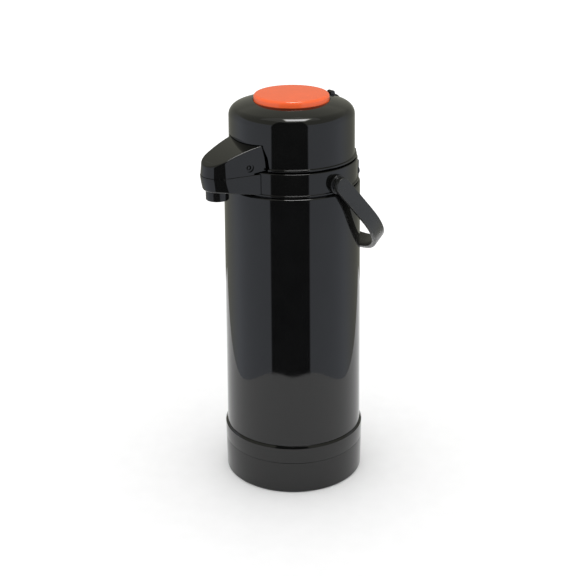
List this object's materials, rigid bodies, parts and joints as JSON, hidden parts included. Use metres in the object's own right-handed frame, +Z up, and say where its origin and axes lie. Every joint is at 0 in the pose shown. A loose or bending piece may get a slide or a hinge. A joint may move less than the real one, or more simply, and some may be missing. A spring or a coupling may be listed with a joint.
{
  "type": "thermal coffee airpot",
  "caption": "Tall insulated coffee dispenser with a round push button on a hinged lid, a forward spout, a glass liner inside and a swinging carry handle.",
  "frame": {"origin": "on the vessel's axis, at the level of the surface that it stands on", "axes": "+Z up along the vessel's axis, the spout points to -Y, the lid's hinge is at +Y, the handle pivots lie along X"},
  "size_m": [0.166, 0.2149, 0.4425],
  "materials": {
    "gloss_black": "glossy moulded black",
    "body_paint": "glossy black lacquer",
    "satin_black": "satin moulded black",
    "outlet_black": "satin black",
    "orange_button": "glossy orange",
    "inner_grey": "moulded grey",
    "silvered_glass": "silvered glass",
    "seal_rubber": "soft black rubber",
    "bellows_rubber": "soft grey rubber",
    "clear_tube": "milky tube",
    "steel": "bright wire and turned steel",
    "felt": "pressed pad"
  },
  "bodies": {
    "vessel": {"foot_ring": "seal_rubber", "base_cap": "gloss_black", "base_collar": "gloss_black", "liner_support": "inner_grey", "support_screws": "steel", "liner_cushion": "seal_rubber", "body_shell": "body_paint", "liner_outer": "silvered_glass", "liner_inner": "silvered_glass", "liner_spacers": "felt", "neck_gasket": "seal_rubber", "collar": "gloss_black", "dip_tube": "clear_tube", "stem_head": "inner_grey", "stem_seal": "seal_rubber", "outlet_tube": "clear_tube", "spout_housing": "gloss_black", "nozzle": "outlet_black", "hinge_block": "gloss_black", "hinge_pin": "steel", "pivot_bosses": "satin_black", "pivot_pins": "steel"},
    "lid": {"lid_shell": "gloss_black", "lid_base": "gloss_black", "lid_screws": "steel", "lid_gasket": "seal_rubber", "air_valve": "seal_rubber", "lid_hinge_arm": "gloss_black", "bellows": "bellows_rubber", "bellows_spring": "steel", "latch_bracket": "gloss_black", "latch_pin": "steel", "latch_spring": "steel"},
    "button": {"button": "orange_button", "plunger": "inner_grey"},
    "lock": {"button_lock": "outlet_black"},
    "latch": {"latch_lever": "gloss_black"},
    "handle": {"handle": "satin_black"},
    "release": {"release_button": "outlet_black"}
  },
  "joints": [
    {"name": "lid_hinge", "type": "hinge", "parent": "vessel", "child": "lid", "pos_m": [0, 0.0756, 0.368], "axis": [-1, 0, 0], "range_deg": [0, 95]},
    {"name": "button_press", "type": "slide", "parent": "lid", "child": "button", "axis": [0, 0, -1], "range_m": [0, 0.018], "stiffness_N_per_m": 800, "springref_m": -0.006, "deforming": ["bellows", "bellows_spring"]},
    {"name": "lock_slide", "type": "slide", "parent": "lid", "child": "lock", "axis": [0, 1, 0], "range_m": [0, 0.004]},
    {"name": "latch_lift", "type": "hinge", "parent": "lid", "child": "latch", "pos_m": [0, -0.0762, 0.38], "axis": [-1, 0, 0], "range_deg": [0, 5], "stiffness_Nm_per_rad": 0.4, "springref_deg": -14.32},
    {"name": "handle_swing", "type": "hinge", "parent": "vessel", "child": "handle", "pos_m": [0, 0.0026, 0.3584], "axis": [1, 0, 0], "range_deg": [-3, 275]},
    {"name": "release_press", "type": "slide", "parent": "vessel", "child": "release", "axis": [0, -1, 0], "range_m": [0, 0.0015], "stiffness_N_per_m": 600, "springref_m": -0.001}
  ]
}
